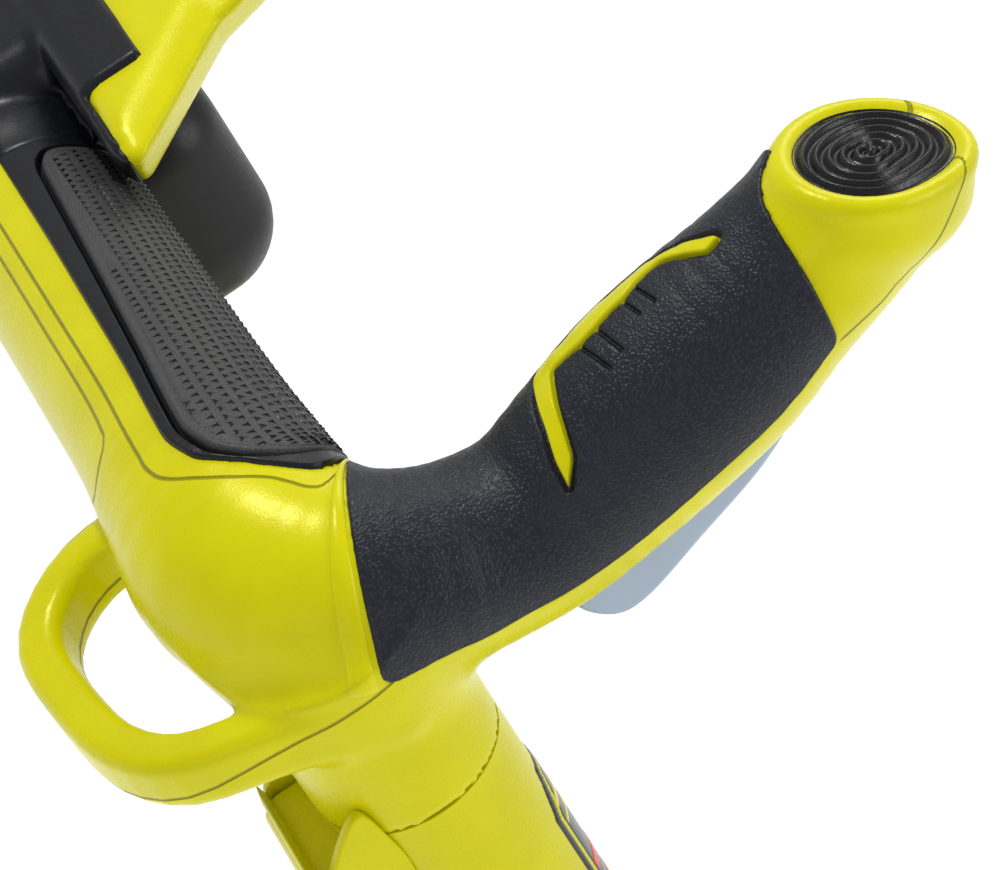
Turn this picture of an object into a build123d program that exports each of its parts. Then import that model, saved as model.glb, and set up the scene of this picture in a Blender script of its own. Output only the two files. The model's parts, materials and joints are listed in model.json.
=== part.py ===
from build123d import *
import math
import os

# Cordless reel mower with a telescopic twin-tube handle and bar-end grips.
#
# Units are millimetres. +X is the operator's right, +Y the way the mower travels, +Z up.
# The model is built with the wheel axis over Y = 0 and the ground at Z = 0, then slid along Y
# until the origin is at the bottom centre of the whole mower.
#
# The handle has a local frame of its own: x along the crossbar, g (second axis) along the
# forward-pointing horns, k (third axis) up the handle tubes. Its origin is where the axes of the
# crossbar, the horn and the tube meet.

os.makedirs("parts", exist_ok=True)

# ---------------------------------------------------------------- driving dimensions: deck
PLATE_IN = 180.0            # inner face of each side plate
PLATE_T = 4.0
PLATE_OUT = PLATE_IN + PLATE_T
WHEEL_R = 115.0
WHEEL_X0, WHEEL_X1 = 212.0, 248.0
AXLE_R = 6.0
REEL_Y, REEL_Z = 48.0, 102.0
REEL_R = 70.0
REEL_HALF = 172.0           # half the length of the reel blades
BLADES = 5
BLADE_T = 3.2
BLADE_H = 15.0
BLADE_TWIST = 58.0          # degrees from one end of a blade to the other
ROLLER_Y, ROLLER_R = -128.0, 25.0
ARM_PIVOT = (-86.0, 74.0)   # y, z of the pivot of the roller arms
MOTOR_Y, MOTOR_Z, MOTOR_R = -62.0, 142.0, 31.0
REEL_PULLEY_R, MOTOR_PULLEY_R = 34.0, 17.0
BELT_T = 3.0
BAY = (-20.0, 100.0, -101.0, -27.0)      # battery bay walls: x0, x1, y0, y1, outer faces
DECK_TOP = 203.0
STUD_X, STUD_Z, STUD_R = 150.0, 188.0, 4.0   # studs that a grass catcher hangs on
TIES = ((129.0, 86.0), (-24.0, 58.0), (-108.0, 172.0))   # y, z of the tie rods
TIE_R = 6.5

# ---------------------------------------------------------------- driving dimensions: handle
RAKE = 62.0                 # handle tubes above the horizontal, degrees
PIVOT_Y, PIVOT_Z = -105.0, 215.0
TUBE_LENGTH = 844.0         # from the fold pivot to the handle's local origin
TUBE_X = 220.0
TUBE_R = 20.0               # outer telescopic tube
INNER_R = 15.8              # inner telescopic tube
LOWER_R = 14.0              # lower steel tube
RING_K = -51.0              # where the head's socket meets the outer tube
BAR_R, BAR_WALL = 20.0, 3.0
HORN_R, GRIP_T, HORN_WALL = 18.0, 2.5, 3.0
GRIP_G0, GRIP_G1 = 9.0, 111.0
CONSOLE_X = 106.0           # half the width of the console
BAR_G, BAR_K = -2.0, -2.5   # axis of the crossbar
CORE_R = 11.0               # steel core tube inside the crossbar
PAD_LEAN = 48.0             # degrees the palm pads lean forwards from the k axis
LEVER_PIVOT = (92.0, -15.0)  # g, k
LEVER_TRAVEL = 9.0          # degrees
CAM_PIVOT = (-25.0, -60.0)  # g, k
LABEL_TURN = 95.0           # degrees from outwards round to the label's middle
PAD_TIP = (134.0, 9.0)      # g, k of the centre of the thumb pad

TILT = 90.0 - RAKE
UP_G, UP_K = math.sin(math.radians(TILT)), math.cos(math.radians(TILT))
HEAD_Y = PIVOT_Y - TUBE_LENGTH * math.cos(math.radians(RAKE))
HEAD_Z = PIVOT_Z + TUBE_LENGTH * math.sin(math.radians(RAKE))
AT_CENTRE = Location((0, HEAD_Y, HEAD_Z), (TILT, 0, 0))
AT_RIGHT = Location((TUBE_X, HEAD_Y, HEAD_Z), (TILT, 0, 0))

parts = {}


# ---------------------------------------------------------------- helpers
def block(x0, x1, y0, y1, z0, z1):
    """A box between two corners."""
    return Pos((x0 + x1) / 2, (y0 + y1) / 2, (z0 + z1) / 2) * Box(x1 - x0, y1 - y0, z1 - z0)


def rod_x(radius, x0, x1, y=0.0, z=0.0):
    """A cylinder along X."""
    return Pos((x0 + x1) / 2, y, z) * Rot(0, 90, 0) * Cylinder(radius, x1 - x0)


def rod_z(radius, z0, z1, x=0.0, y=0.0):
    """A cylinder along Z."""
    return Pos(x, y, (z0 + z1) / 2) * Cylinder(radius, z1 - z0)


def plate_x(points, x0, x1):
    """A polygon of (y, z) points, extruded along X."""
    face = make_face(Polyline(*points, close=True))
    return extrude(Plane.YZ.offset(x0) * face, x1 - x0)


def both(name, shape):
    """Stores a right-hand piece and its mirror image."""
    parts["right_" + name] = shape
    parts["left_" + name] = mirror(shape, Plane.YZ)


def pair(name, shape):
    """Stores a right-hand piece and its mirror image as one node."""
    parts[name] = Compound(list(shape.solids()) + list(mirror(shape, Plane.YZ).solids()))


# ---------------------------------------------------------------- reel
def twisted_blade(start):
    """One helical blade: a radial strip whose angle grows along X."""
    steps = 6
    faces = []
    for i in range(steps + 1):
        x = -REEL_HALF + 2 * REEL_HALF * i / steps
        angle = start + BLADE_TWIST * i / steps
        strip = Pos(REEL_R - BLADE_H / 2, 0) * Rectangle(BLADE_H, BLADE_T)
        faces.append(Plane.YZ.offset(x) * Rot(0, 0, angle) * strip)
    return loft(faces)


def make_reel():
    """Blades, spiders, shaft, bearings and the driven pulley, about the reel axis."""
    here = Pos(0, REEL_Y, REEL_Z)
    blades = [twisted_blade(360 * i / BLADES) for i in range(BLADES)]
    parts["reel_blades"] = Compound([here * b for b in blades])
    shaft_r = 8.0
    spiders = []
    for x in (-165, -83, 0, 83, 165):
        disc = rod_x(REEL_R - BLADE_H + 5, x - 1.5, x + 1.5) - rod_x(shaft_r, x - 2, x + 2)
        for i in range(BLADES):
            middle = 360 * (i + 0.5) / BLADES + BLADE_TWIST * (x + REEL_HALF) / (2 * REEL_HALF)
            a = math.radians(middle)
            disc -= rod_x(15, x - 2, x + 2, 41 * math.cos(a), 41 * math.sin(a))
        for b in blades:
            disc -= b
        spiders += [here * s for s in disc.solids()]
    parts["reel_spiders"] = Compound(spiders)
    shaft = rod_x(shaft_r, -PLATE_OUT - 18, PLATE_OUT + 8)
    parts["reel_shaft"] = here * shaft
    seats = []
    for x0, x1 in ((-PLATE_OUT - 2, -PLATE_IN + 6), (PLATE_IN - 6, PLATE_OUT + 2)):
        seats.append(here * (rod_x(17, x0, x1) - rod_x(shaft_r + 0.05, x0, x1)))
    parts["reel_bearings"] = Compound(seats)
    pulley = rod_x(REEL_PULLEY_R, -PLATE_OUT - 16, -PLATE_OUT - 4) - rod_x(shaft_r, -210, -180)
    pulley -= rod_x(REEL_PULLEY_R + 1, -PLATE_OUT - 15, -PLATE_OUT - 5) - rod_x(
        REEL_PULLEY_R - BELT_T, -210, -180
    )
    parts["reel_pulley"] = here * pulley


# ---------------------------------------------------------------- chassis
def plate_outline():
    """Side plate outline in (y, z), rounded at its corners."""
    points = [(142, 64), (142, 112), (104, 176), (40, 196), (-60, 196), (-124, 186),
              (-124, 120), (-108, 60), (-70, 40), (0, 28), (90, 32)]
    face = make_face(Polyline(*points, close=True))
    return fillet(face.vertices(), 11)


def make_chassis():
    """Side plates, tie rods, bedknife, axles and handle brackets."""
    plate = extrude(Plane.YZ.offset(PLATE_IN) * plate_outline(), PLATE_T)
    plate -= rod_x(17, 170, 200, REEL_Y, REEL_Z)
    plate -= rod_x(AXLE_R, 170, 200, 0, WHEEL_R)
    plate -= rod_x(5, 170, 200, *ARM_PIVOT)
    ties = TIES
    for y, z in ties:
        plate -= rod_x(4, 170, 200, y, z)
    for y, z in ((-100, 128), (-72, 108), (-45, 88)):
        plate -= rod_x(8, 170, 200, y, z)
    motor_side = mirror(plate, Plane.YZ) - rod_x(6.05, -200, -170, MOTOR_Y, MOTOR_Z)
    parts["side_plates"] = Compound([plate, motor_side])

    rods, nuts = [], []
    for y, z in ties:
        rods.append(rod_x(TIE_R, -PLATE_IN, PLATE_IN, y, z))
        for side in (-1, 1):
            x0, x1 = sorted((side * PLATE_IN, side * (PLATE_OUT + 1)))
            rods[-1] += rod_x(4, x0, x1, y, z)
            x0, x1 = sorted((side * (PLATE_OUT + 1), side * (PLATE_OUT + 5)))
            head = Pos(x0, y, z) * Rot(0, 90, 0) * extrude(RegularPolygon(6.5, 6), x1 - x0)
            nuts.append(head)
    for rod in rods:
        nuts = [n - rod for n in nuts]
    parts["tie_rods"] = Compound(rods)
    parts["tie_rod_nuts"] = Compound([s for n in nuts for s in n.solids()])

    angle = math.radians(65)
    edge_y = REEL_Y - (REEL_R + 0.6) * math.cos(angle)
    edge_z = REEL_Z - (REEL_R + 0.6) * math.sin(angle)
    knife = [(edge_y, edge_z), (edge_y - 3, edge_z - 4), (edge_y - 34, edge_z - 4),
             (edge_y - 34, edge_z)]
    parts["bedknife"] = plate_x(knife, -PLATE_IN + 0.2, PLATE_IN - 0.2)
    holder = block(-PLATE_IN, PLATE_IN, edge_y - 34, edge_y - 18, edge_z, edge_z + 11)
    bolts = []
    for x in (-140, -70, 0, 70, 140):
        hole = rod_z(3, edge_z - 5, edge_z + 8, x, edge_y - 24)
        holder -= hole
        parts["bedknife"] -= hole
        bolts.append(rod_z(3, edge_z - 4, edge_z + 8, x, edge_y - 24)
                     + rod_z(5.5, edge_z - 7, edge_z - 4, x, edge_y - 24))
    parts["bedknife_holder"] = holder
    parts["bedknife_bolts"] = Compound(bolts)

    axle = rod_x(AXLE_R, PLATE_IN, WHEEL_X1 + 3, 0, WHEEL_R)
    axle += rod_x(10, PLATE_OUT, WHEEL_X0 - 0.5, 0, WHEEL_R)
    axle += rod_x(9, PLATE_IN - 6, PLATE_IN, 0, WHEEL_R)
    pair("wheel_axles", axle)

    lug = make_face(Polyline((-124, 122), (-124, 200), (-114, 229), (-96, 229), (-78, 200),
                             (-78, 186), (-94, 172), (-94, 122), close=True))
    lug = extrude(Plane.YZ.offset(PLATE_OUT) * fillet(lug.vertices(), 5), 5)
    lug -= rod_x(8, 180, 200, *TIES[2])
    lug += rod_x(10, PLATE_OUT + 5, TUBE_X - 12.2, PIVOT_Y, PIVOT_Z)
    lug -= rod_x(5, 180, 230, PIVOT_Y, PIVOT_Z)
    pair("handle_brackets", lug)


# ---------------------------------------------------------------- wheels and roller
def make_wheels():
    """Tyre, spoked rim, hub bush and cap of the right wheel, mirrored to the left."""
    mid = (WHEEL_X0 + WHEEL_X1) / 2
    tyre = rod_x(WHEEL_R, WHEEL_X0, WHEEL_X1) - rod_x(98, 200, 260)
    tyre = fillet(tyre.edges().filter_by(GeomType.CIRCLE).sort_by(SortBy.RADIUS)[-2:], 5)
    for i in range(40):
        a = 9 * i
        groove = Pos(mid, 0, WHEEL_R) * Rot(0, 0, 28 if i % 2 else -28) * Box(44, 3.2, 4)
        tyre -= Rot(a, 0, 0) * groove
    rim = rod_x(98, WHEEL_X0 + 3, WHEEL_X1 - 3) - rod_x(86, 200, 260)
    rim += rod_x(20, WHEEL_X0 + 1, WHEEL_X1 - 2)
    web = rod_x(87, mid - 4, mid + 2)
    for i in range(6):
        a = math.radians(60 * i + 30)
        web -= rod_x(22, 200, 260, 55 * math.cos(a), 55 * math.sin(a))
    rim = rim + web - rod_x(AXLE_R + 0.06, 200, 260)
    cap = rod_x(24, WHEEL_X1 - 6, WHEEL_X1 + 6) - rod_x(20, WHEEL_X1 - 7, WHEEL_X1 + 4)
    cap = fillet(cap.edges().filter_by(GeomType.CIRCLE).sort_by(Axis.X)[-1:], 3)
    here = Pos(0, 0, WHEEL_R)
    both("tyre", here * tyre)
    both("wheel_rim", here * rim)
    both("hub_cap", here * cap)


def make_roller():
    """Rear roller, its axle and the pair of arms that set the height of cut."""
    here = Pos(0, ROLLER_Y, ROLLER_R)
    tube = rod_x(ROLLER_R, -160, 160) - rod_x(ROLLER_R - 3, -150, 150)
    tube -= rod_x(6.06, -170, 170)
    parts["rear_roller"] = here * tube
    parts["roller_axle"] = here * rod_x(6, -PLATE_IN + 7, PLATE_IN - 7)
    py, pz = ARM_PIVOT
    arm = make_face(Polyline((py - 12, pz + 12), (py + 13, pz + 10), (py + 12, pz - 12),
                             (ROLLER_Y + 13, ROLLER_R - 8), (ROLLER_Y - 9, ROLLER_R - 10),
                             (ROLLER_Y - 12, ROLLER_R + 10), close=True))
    arm = extrude(Plane.YZ.offset(PLATE_IN - 12) * fillet(arm.vertices(), 6), 5)
    arm -= rod_x(6, 150, 190, ROLLER_Y, ROLLER_R)
    arm -= rod_x(5.06, 150, 190, py, pz)
    pair("roller_arms", arm)
    bolt = rod_x(5, PLATE_IN - 16, PLATE_OUT, py, pz) + rod_x(8, PLATE_OUT, PLATE_OUT + 4, py, pz)
    bolt += rod_x(8, PLATE_IN - 16, PLATE_IN - 12.3, py, pz)
    parts["roller_arm_bolts"] = Compound([bolt, mirror(bolt, Plane.YZ)])


# ---------------------------------------------------------------- drive
def make_drive():
    """Motor, pulley, belt and belt cover on the left side."""
    here = Pos(0, MOTOR_Y, MOTOR_Z)
    body = rod_x(MOTOR_R, -PLATE_IN, -PLATE_IN + 92)
    body = fillet(body.edges().filter_by(GeomType.CIRCLE).sort_by(Axis.X)[-1:], 4)
    body += rod_x(12, -PLATE_IN + 92, -PLATE_IN + 98)
    body -= rod_x(5.06, -200, -PLATE_IN + 60)
    parts["motor"] = here * body
    parts["motor_shaft"] = here * rod_x(5, -PLATE_OUT - 18, -PLATE_IN + 58)
    pulley = rod_x(MOTOR_PULLEY_R, -PLATE_OUT - 16, -PLATE_OUT - 4) - rod_x(5, -210, -180)
    pulley -= rod_x(MOTOR_PULLEY_R + 1, -PLATE_OUT - 15, -PLATE_OUT - 5) - rod_x(
        MOTOR_PULLEY_R - BELT_T, -210, -180
    )
    parts["motor_pulley"] = here * pulley

    dy, dz = MOTOR_Y - REEL_Y, MOTOR_Z - REEL_Z
    distance, lean = math.hypot(dy, dz), math.atan2(dz, dy)

    def wrap(extra):
        """The band of material around both pulleys, extra outside the belt's inner face."""
        big, small = REEL_PULLEY_R - BELT_T + extra, MOTOR_PULLEY_R - BELT_T + extra
        phi = math.acos((big - small) / distance)
        points = []
        for sign in (1, -1):
            a = lean + sign * phi
            near = (REEL_Y + big * math.cos(a), REEL_Z + big * math.sin(a))
            far = (MOTOR_Y + small * math.cos(a), MOTOR_Z + small * math.sin(a))
            points += [near, far] if sign == 1 else [far, near]
        face = make_face(Polyline(*points, close=True))
        face += Pos(REEL_Y, REEL_Z) * Circle(big)
        face += Pos(MOTOR_Y, MOTOR_Z) * Circle(small)
        return face

    belt = extrude(Plane.YZ.offset(-PLATE_OUT - 14.5) * wrap(BELT_T + 0.2), 9)
    belt -= extrude(Plane.YZ.offset(-PLATE_OUT - 15) * wrap(0.2), 10)
    parts["drive_belt"] = belt

    shell = extrude(Plane.YZ.offset(-PLATE_OUT - 24) * wrap(13), 24)
    shell -= extrude(Plane.YZ.offset(-PLATE_OUT - 21.5) * wrap(10), 22)
    shell -= rod_x(10.4, -220, -180, 0, WHEEL_R)
    parts["belt_cover"] = shell


# ---------------------------------------------------------------- deck cover and battery
def cover_outline(inset):
    """Deck cover section in (y, z): an arc over the reel and a flat rear deck."""
    r = 80.0 - inset
    front = (REEL_Y + r * math.cos(math.radians(8)), REEL_Z + r * math.sin(math.radians(8)))
    top = (REEL_Y + r * math.cos(math.radians(60)), REEL_Z + r * math.sin(math.radians(60)))
    mid = (REEL_Y + r * math.cos(math.radians(34)), REEL_Z + r * math.sin(math.radians(34)))
    z = DECK_TOP - inset
    return [front, mid, top, (20.0, z), (-118.0 + inset, z), (-118.0 + inset, 150.0)]


def make_deck():
    """Lime deck cover, battery bay and battery."""
    outer, inner = cover_outline(0), cover_outline(3)
    edges = ThreePointArc(*outer[:3]) + Polyline(*outer[2:]) + Line(outer[-1], inner[-1])
    edges += Polyline(*inner[:1:-1]) + ThreePointArc(*inner[2::-1]) + Line(inner[0], outer[0])
    section = make_face(edges)
    cover = extrude(Plane.YZ.offset(-PLATE_IN) * section, 2 * PLATE_IN)
    x0, x1, y0, y1 = BAY
    cover -= block(x0, x1, y0, y1, 150, 260)
    studs = []
    for x in (-STUD_X, STUD_X):
        at = Pos(x, 0, STUD_Z) * Rot(90, 0, 0)
        shank = at * Pos(0, 0, 127) * Cylinder(STUD_R, 16)
        collar = at * Pos(0, 0, 117) * Cylinder(STUD_R + 2, 4)
        head = at * Pos(0, 0, 113.5) * Cylinder(STUD_R + 4, 3)
        cover -= collar
        studs.append(shank + collar + head)
    parts["deck_cover"] = cover
    parts["catcher_studs"] = Compound(studs)

    bay = block(x0, x1, y0, y1, 116, DECK_TOP + 9) - block(x0 + 3, x1 - 3, y0 + 3, y1 - 3, 119, 260)
    bay += block(x0 - 5, x1 + 5, y0 - 5, y1 + 5, DECK_TOP, DECK_TOP + 4) - block(
        x0 + 1, x1 - 1, y0 + 1, y1 - 1, 190, 260
    )
    parts["battery_bay"] = bay

    pack = block(x0 + 4, x1 - 4, y0 + 4, y1 - 4, 128, 240)
    pack = fillet(pack.edges().filter_by(Axis.Z), 8)
    pack = fillet(pack.faces().sort_by(Axis.Z)[-1].edges(), 7)
    parts["battery_pack"] = pack


# ---------------------------------------------------------------- handle frame
def make_frame():
    """Lower tubes, knuckles, outer telescopic tubes, brace, pivot bolts and knobs."""
    low = -TUBE_LENGTH
    lower = rod_z(LOWER_R, low + 22, -400) - rod_z(LOWER_R - 1.8, low + 20, -399)
    pair("lower_tubes", AT_RIGHT * lower)
    eye = rod_x(16, -12, 12, 0, low) + rod_z(12.1, low + 8, low + 62)
    eye += rod_z(LOWER_R + 2, low + 12, low + 22)
    eye -= rod_x(5.06, -20, 20, 0, low)
    pair("tube_knuckles", AT_RIGHT * eye)
    bolt = rod_x(5, PLATE_OUT, TUBE_X + 20, PIVOT_Y, PIVOT_Z)
    pair("pivot_bolts", bolt)
    knob = rod_x(15, TUBE_X + 17, TUBE_X + 29, PIVOT_Y, PIVOT_Z)
    knob += rod_x(9, TUBE_X + 12.2, TUBE_X + 17, PIVOT_Y, PIVOT_Z)
    for i in range(5):
        a = math.radians(72 * i)
        knob += rod_x(7, TUBE_X + 17, TUBE_X + 29, PIVOT_Y + 13 * math.cos(a),
                      PIVOT_Z + 13 * math.sin(a))
    knob -= rod_x(5, TUBE_X, TUBE_X + 20, PIVOT_Y, PIVOT_Z)
    pair("star_knobs", knob)

    bottom = -430.0
    outer = rod_z(TUBE_R, bottom, RING_K) - rod_z(INNER_R + 0.1, bottom - 1, RING_K + 1)
    lug = block(-14, 14, CAM_PIVOT[0], -12, CAM_PIVOT[1] - 5.2, CAM_PIVOT[1] + 5.2)
    lug += rod_x(5.2, -14, 14, *CAM_PIVOT)
    lug -= rod_z(TUBE_R - 0.5, -80, -40)
    outer += lug
    outer -= rod_x(2.95, -30, 30, *CAM_PIVOT)
    pair("outer_tubes", AT_RIGHT * outer)
    sleeve = rod_z(INNER_R + 0.1, bottom, bottom + 36) - rod_z(LOWER_R, bottom - 1, bottom + 37)
    sleeve += rod_z(TUBE_R + 1, bottom - 12, bottom) - rod_z(LOWER_R, bottom - 13, bottom + 1)
    pair("tube_bushes", AT_RIGHT * sleeve)
    brace_k = -TUBE_LENGTH + 190
    reach = TUBE_X - LOWER_R * 0.6
    brace = rod_x(10, -reach, reach, 0, brace_k) - rod_x(8.4, -300, 300, 0, brace_k)
    for side in (-1, 1):
        brace -= rod_z(LOWER_R, -900, -300, side * TUBE_X, 0)
    parts["brace_tube"] = AT_CENTRE * brace
    plate = rod_z(TUBE_R + 0.7, -256, -68) - rod_z(TUBE_R, -261, -60)
    window = Rot(0, 0, LABEL_TURN) * block(0, 40, -12.5, 12.5, -260, -60)
    pair("label_plates", AT_RIGHT * (plate & window))

    g, k = CAM_PIVOT
    wall = make_face(Polyline((g - 8, k + 5), (g + 4, k + 7), (g + 15, k + 3), (g + 14, k - 10),
                              (g - 2, k - 48), (g - 8, k - 50), (g - 9, k - 20), close=True))
    wall = fillet(wall.vertices(), 2.5)
    side = extrude(Plane.YZ.offset(20.6) * wall, 2.4)
    lever = side + mirror(side, Plane.YZ)
    lever += block(-20.6, 20.6, g - 8, g - 5.5, k - 44, k + 2)
    lever += block(-20.6, 20.6, g - 8, g + 2, k - 14, k - 12)
    lever -= rod_x(3, -30, 30, g, k)
    both("cam_lever", AT_RIGHT * lever)
    pair("cam_pins", AT_RIGHT * rod_x(2.95, -24, 24, g, k))


# ---------------------------------------------------------------- handle head
def horn_path():
    """Centreline of the crossbar's end, the elbow and the horn, as one wire."""
    return FilletPolyline((CONSOLE_X - TUBE_X, BAR_G, BAR_K), (0, BAR_G, BAR_K), (0, 44, -24),
                          (0, 142, 11), radius=[28, 52])


def swept(radius, path):
    """A round bar along the path."""
    return sweep(Plane(path @ 0, z_dir=path % 0) * Circle(radius), path)


def below_seam():
    """Everything under the joint line between the upper and lower shells."""
    seam = [(-70, -12), (-8, -12), (5, -18), (30, -28.5), (50, -29.5), (70, -25.5), (112, -12),
            (132, -5), (170, 8)]
    return plate_x(seam + [(170, -120), (-70, -120)], -160, 60)


def biggest(shape):
    """The largest of a shape's solids."""
    return shape.solids().sort_by(SortBy.VOLUME)[-1]


def make_head():
    """Shells, grips, pads, levers and switches of the right side, mirrored to the left."""
    path = horn_path()
    bar = swept(BAR_R, path)
    horn = swept(HORN_R, path)
    skin = swept(HORN_R - GRIP_T, path)
    hollow = swept(HORN_R - GRIP_T - HORN_WALL, path)
    in_grip = block(-60, 60, GRIP_G0, GRIP_G1, -90, 60)
    before = block(-160, 60, -60, GRIP_G0, -90, 60)
    past = block(-160, 60, GRIP_G1, 170, -90, 60)
    low = below_seam()
    up = Rot(-TILT, 0, 0)
    knob = Pos(0, PAD_TIP[0], PAD_TIP[1]) * up * Pos(0, 0, -9) * Cylinder(18.5, 22)
    knob = fillet(knob.edges().filter_by(GeomType.CIRCLE), 5)
    pad_hole = Pos(0, PAD_TIP[0], PAD_TIP[1]) * up * Pos(0, 0, 0) * Cylinder(14.5, 5)
    body = (bar & before) + (skin & in_grip) + (horn & past) + knob
    rib = (horn & in_grip & low)
    loop = make_face(Polyline((-62, -14), (-56, -44), (-34, -53), (-4, -46), (14, -26), (17, 2),
                              (-10, 8), (-60, 4), close=True))
    loop = extrude(Pos(0, 0, -24) * fillet(loop.vertices(), 9), 12)
    hole = make_face(Polyline((-50, -20), (-45, -37), (-31, -42), (-8, -36), (2, -24), (0, -14),
                              (-16, -8), (-42, -8), close=True))
    loop -= extrude(Pos(0, 0, -30) * fillet(hole.vertices(), 5), 24)
    loop -= swept(BAR_R - 1.5, path)
    above_tip = Pos(0, PAD_TIP[0], PAD_TIP[1]) * up * Pos(0, 0, 22) * Cylinder(30, 40)
    socket = rod_z(TUBE_R, RING_K + 0.2, -8)
    body = body + rib + (socket & low) + (loop & low)
    body -= hollow
    body -= rod_z(INNER_R, -90, -16)
    core = rod_x(CORE_R, -TUBE_X, -34, BAR_G, BAR_K)
    body -= core
    body -= pad_hole
    body -= above_tip
    slot = block(-7.8, 7.8, 38.5, 99.5, -70, -12)
    body -= slot
    pin_hole = rod_x(2, -11.9, 11.9, *LEVER_PIVOT)
    body -= pin_hole
    bolt_hole = rod_x(3, -30, 30, 0, -36)
    body -= bolt_hole
    upper = body - low
    lower = body & low
    pair("upper_shells", AT_RIGHT * biggest(upper))
    pair("lower_shells", AT_RIGHT * biggest(lower))

    grip = (horn & in_grip) - low - skin
    line = [(-15.5, 52), (-11.5, 52), (-6, 72), (-2, 90), (-5.5, 90), (-10, 72)]
    inlay_cut = extrude(Pos(0, 0, -10) * make_face(Polyline(*line, close=True)), 40)
    pair("grip_inlays", AT_RIGHT * biggest(grip & inlay_cut))
    pair("grip_overmoulds", AT_RIGHT * biggest(grip - inlay_cut))

    pad = Pos(0, PAD_TIP[0], PAD_TIP[1]) * up * Pos(0, 0, 0.1) * Cylinder(14.4, 4.6)
    pair("thumb_pads", AT_RIGHT * pad)

    ring = rod_x(BAR_R + 1.6, CONSOLE_X - TUBE_X + 1, -32, BAR_G, BAR_K) - bar
    facing = Rot(-PAD_LEAN, 0, 0)
    sector = facing * block(-120, 0, -17, 17, 6, 40)
    frame = ring & sector
    inner = facing * block(CONSOLE_X - TUBE_X + 5, -38, -14, 14, 0, 40)
    pair("pad_frames", AT_RIGHT * biggest(frame - inner))
    pair("palm_pads", AT_RIGHT * biggest(frame & inner))

    tube = rod_z(INNER_R, RING_K - 200, -16.2) - rod_z(INNER_R - 1.8, RING_K - 201, -16)
    tube -= bolt_hole
    pair("inner_tubes", AT_RIGHT * tube)
    pair("socket_bolts", AT_RIGHT * (rod_x(3, -20.5, 20.5, 0, -36)))

    g, k = LEVER_PIVOT
    blade = make_face(Polyline((97, k), (96, -27), (88, -34), (70, -41), (55, -47), (47, -46),
                               (42, -40), (43, -31), (60, -28), (84, -21), (87, k), close=True))
    lever = extrude(Plane.YZ.offset(-7) * blade, 14) + rod_x(4.4, -7, 7, g, k)
    lever -= rod_x(2.06, -20, 20, g, k)
    both("power_lever", AT_RIGHT * lever)
    pair("lever_pins", AT_RIGHT * rod_x(2, -11.8, 11.8, g, k))


def make_console():
    """Centre console: cover, panel, start button, lamp, pod, board and crossbar core."""
    cover = block(-CONSOLE_X, CONSOLE_X, -24, 62, -14, 24)
    cover = fillet(cover.edges().filter_by(Axis.Z), 18)
    cover = fillet(cover.faces().sort_by(Axis.Z)[-1].edges(), 8)
    room = block(-CONSOLE_X + 3, CONSOLE_X - 3, -21, 59, -20, 21)
    room = fillet(room.edges().filter_by(Axis.Z), 15)
    cover -= room
    cover -= rod_x(CORE_R, -120, 120, BAR_G, BAR_K)
    panel_cut = block(-72, 72, -17, 40, 18, 30)
    cover -= panel_cut
    parts["console_cover"] = AT_CENTRE * cover
    panel = block(-72, 72, -17, 40, 21, 25.5) - block(-66, 66, -12, 34, 20, 22.5)
    panel -= rod_z(11.2, 15, 30, 0, 8)
    parts["console_panel"] = AT_CENTRE * panel
    button = rod_z(11, 21.5, 28, 0, 8) + rod_z(13.5, 19.5, 21.5, 0, 8)
    parts["start_button"] = AT_CENTRE * button
    pod = block(-84, 84, 6, 58, -46, -14.1)
    pod = fillet(pod.edges().filter_by(Axis.X).group_by(Axis.Z)[0], 18)
    pod -= block(-81, 81, 14, 50, -42, -10)
    parts["console_pod"] = AT_CENTRE * pod
    core = rod_x(CORE_R, -TUBE_X + 34, TUBE_X - 34, BAR_G, BAR_K)
    core -= rod_x(CORE_R - 1.6, -300, 300, BAR_G, BAR_K)
    parts["crossbar_core"] = AT_CENTRE * core


make_reel()
make_chassis()
make_wheels()
make_roller()
make_drive()
make_deck()
make_frame()
make_head()
make_console()

whole = Compound([p for p in parts.values()]).bounding_box()
to_origin = Pos(0, -(whole.min.Y + whole.max.Y) / 2, -whole.min.Z)
for name, shape in parts.items():
    export_step(to_origin * shape, f"parts/{name}.step")
print(len(parts), "nodes, slid along Y by", round(-(whole.min.Y + whole.max.Y) / 2, 3))
print("size", whole.size)
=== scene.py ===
"""Looks of the reel mower: head, levers, console and labels as new meshes, the rest as dressed CAD.

Everything is in metres in the row's frame. The head is built in the handle's local frame, in
millimetres: x outwards, g along the horn, k up the tube, from where bar, horn and tube axes meet.
"""
import json
import math
import bpy
import numpy as np
from mathutils import Matrix, Vector


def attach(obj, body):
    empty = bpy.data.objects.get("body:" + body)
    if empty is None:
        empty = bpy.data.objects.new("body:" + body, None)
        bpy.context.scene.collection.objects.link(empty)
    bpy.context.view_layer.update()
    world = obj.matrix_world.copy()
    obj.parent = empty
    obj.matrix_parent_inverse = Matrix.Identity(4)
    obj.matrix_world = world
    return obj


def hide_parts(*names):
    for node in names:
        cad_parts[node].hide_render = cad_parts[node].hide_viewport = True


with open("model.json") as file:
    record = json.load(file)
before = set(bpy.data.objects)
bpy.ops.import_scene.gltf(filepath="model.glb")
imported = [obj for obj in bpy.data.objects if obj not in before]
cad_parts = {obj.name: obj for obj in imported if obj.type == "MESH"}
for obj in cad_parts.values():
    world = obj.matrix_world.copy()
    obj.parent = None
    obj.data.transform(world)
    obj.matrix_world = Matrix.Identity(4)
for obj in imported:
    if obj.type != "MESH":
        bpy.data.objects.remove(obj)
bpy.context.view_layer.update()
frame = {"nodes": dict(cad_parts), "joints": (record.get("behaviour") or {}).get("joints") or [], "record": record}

JOINTS = {j["name"]: j for j in frame["joints"]}

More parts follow.
